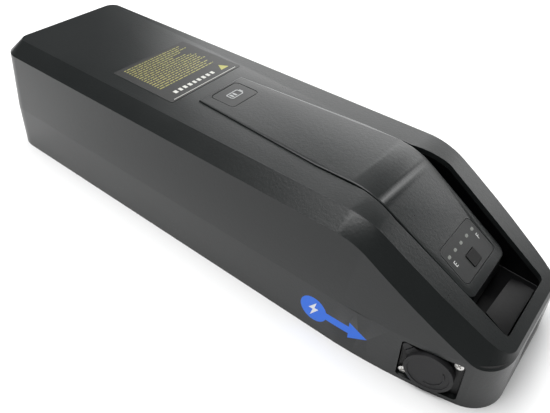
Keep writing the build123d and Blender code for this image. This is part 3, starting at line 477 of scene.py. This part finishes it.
def lettering(name, text, height, middle, turn, finish, body):
    """One printed character made into a flat mesh, then put in its place."""
    words = bpy.data.curves.new(name + "_text", "FONT")
    words.body = text
    words.size = height
    words.extrude = 0.012 * MM
    words.align_x = "CENTER"
    words.align_y = "CENTER"
    holder = bpy.data.objects.new(name + "_text", words)
    bpy.context.scene.collection.objects.link(holder)
    bpy.context.view_layer.update()
    mesh = bpy.data.meshes.new_from_object(holder.evaluated_get(bpy.context.evaluated_depsgraph_get()))
    bpy.data.objects.remove(holder)
    build = bmesh.new()
    build.from_mesh(mesh)
    bpy.data.meshes.remove(mesh)
    bmesh.ops.transform(build, matrix=Matrix.Translation(middle) @ turn.to_4x4(), verts=build.verts)
    return piece(name, build, finish, body)


letter_turn = gauge_turn @ Matrix.Rotation(pi / 2, 3, "Z")
for text, side in (("E", -1), ("F", 1)):
    middle = gauge_origin - along_slope * 0.1 * MM + Vector((0, side * 11.0 * MM, 0)) + off_slope * 0.02 * MM
    lettering("gauge_" + text, text, 3.6 * MM, middle, letter_turn, gauge_ink, "pack")

# Raised curved pull mark on the port's cap
port_x = 131.6
port_z = 13.2
taper_x = 82.0
taper_radius = 285.0
port_run = port_x - taper_x
port_turn = asin(port_run / taper_radius)
port_side = case_half - (taper_radius - sqrt(taper_radius**2 - port_run**2))
port_right = Vector((cos(port_turn), sin(port_turn), 0))
port_out = Vector((sin(port_turn), -cos(port_turn), 0))
port_middle = Vector((port_x, -port_side, port_z)) * MM
port_turn_matrix = Matrix((port_right, (0, 0, 1), port_out)).transposed()

pull = bmesh.new()
ring = [pull.verts.new((6.2 * MM, 0, -0.30 * MM)), pull.verts.new((6.9 * MM, 0, -0.30 * MM))]
ring += [pull.verts.new((6.8 * MM, 0, 0.28 * MM)), pull.verts.new((6.3 * MM, 0, 0.28 * MM))]
pull.faces.new(ring)
bmesh.ops.spin(
    pull, geom=pull.faces[:], cent=(0, 0, 0), axis=(0, 0, 1), angle=radians(-130), steps=28, use_merge=False
)
bmesh.ops.rotate(pull, verts=pull.verts, cent=(0, 0, 0), matrix=Matrix.Rotation(radians(30), 3, "Z"))
bmesh.ops.transform(
    pull,
    matrix=Matrix.Translation(port_middle + port_out * 1.15 * MM) @ port_turn_matrix.to_4x4(),
    verts=pull.verts,
)
bmesh.ops.recalc_face_normals(pull, faces=pull.faces)
piece("port_cap_pull", pull, cap_rubber, "port_cap")


# ---- Floor, light and camera ----

floor_build = bmesh.new()
bmesh.ops.create_grid(floor_build, x_segments=1, y_segments=1, size=30.0)
floor_mesh = bpy.data.meshes.new("floor")
floor_build.to_mesh(floor_mesh)
floor_build.free()
floor_finish = Finish("floor_paint", Roughness=0.9, Specular_IOR_Level=0.1)
floor_finish.feed(
    Base_Color=floor_finish.mixed(floor_finish.noise(3.0), (0.90, 0.90, 0.90), (0.92, 0.92, 0.92))
)
floor_mesh.materials.append(floor_finish.material)
floor_object = bpy.data.objects.new("floor", floor_mesh)
bpy.context.scene.collection.objects.link(floor_object)


def softbox(name, middle, target, size, power, tint=(1.0, 1.0, 1.0)):
    """A rectangular soft light that faces a point."""
    lamp = bpy.data.lights.new(name, "AREA")
    lamp.shape = "RECTANGLE"
    lamp.size, lamp.size_y = size
    lamp.energy = power
    lamp.color = tint
    made = bpy.data.objects.new(name, lamp)
    bpy.context.scene.collection.objects.link(made)
    made.location = middle
    made.rotation_euler = (Vector(target) - Vector(middle)).to_track_quat("-Z", "Y").to_euler()
    return made


softbox("overhead", (-0.45, -0.35, 2.0), (0.0, -0.05, 0), (2.2, 1.8), 66.0)
softbox("back_panel", (-0.15, 1.55, 0.66), (0.0, 0.0, 0.05), (2.7, 0.95), 30.0)

world = bpy.data.worlds.new("studio")
bpy.context.scene.world = world
world.use_nodes = True
world.node_tree.nodes["Background"].inputs["Color"].default_value = (0.96, 0.98, 1.0, 1.0)
world.node_tree.nodes["Background"].inputs["Strength"].default_value = 0.12

bpy.context.scene.view_settings.view_transform = "Standard"

camera_lens = bpy.data.cameras.new("camera")
camera_lens.lens = 40.25
camera_lens.sensor_width = 36.0
camera_lens.shift_y = -0.121
camera_lens.clip_start = 0.01
camera = bpy.data.objects.new("camera", camera_lens)
bpy.context.scene.collection.objects.link(camera)
look = Vector((-0.4958, 0.6498, -0.5761)).normalized()
right = Vector((0.7816, 0.6231, 0.0302))
right = (right - look * right.dot(look)).normalized()
above = right.cross(look)
turn = Matrix((right, above, -look)).transposed().to_4x4()
camera.matrix_world = Matrix.Translation((0.1711, -0.2011, 0.2321)) @ turn
bpy.context.scene.camera = camera
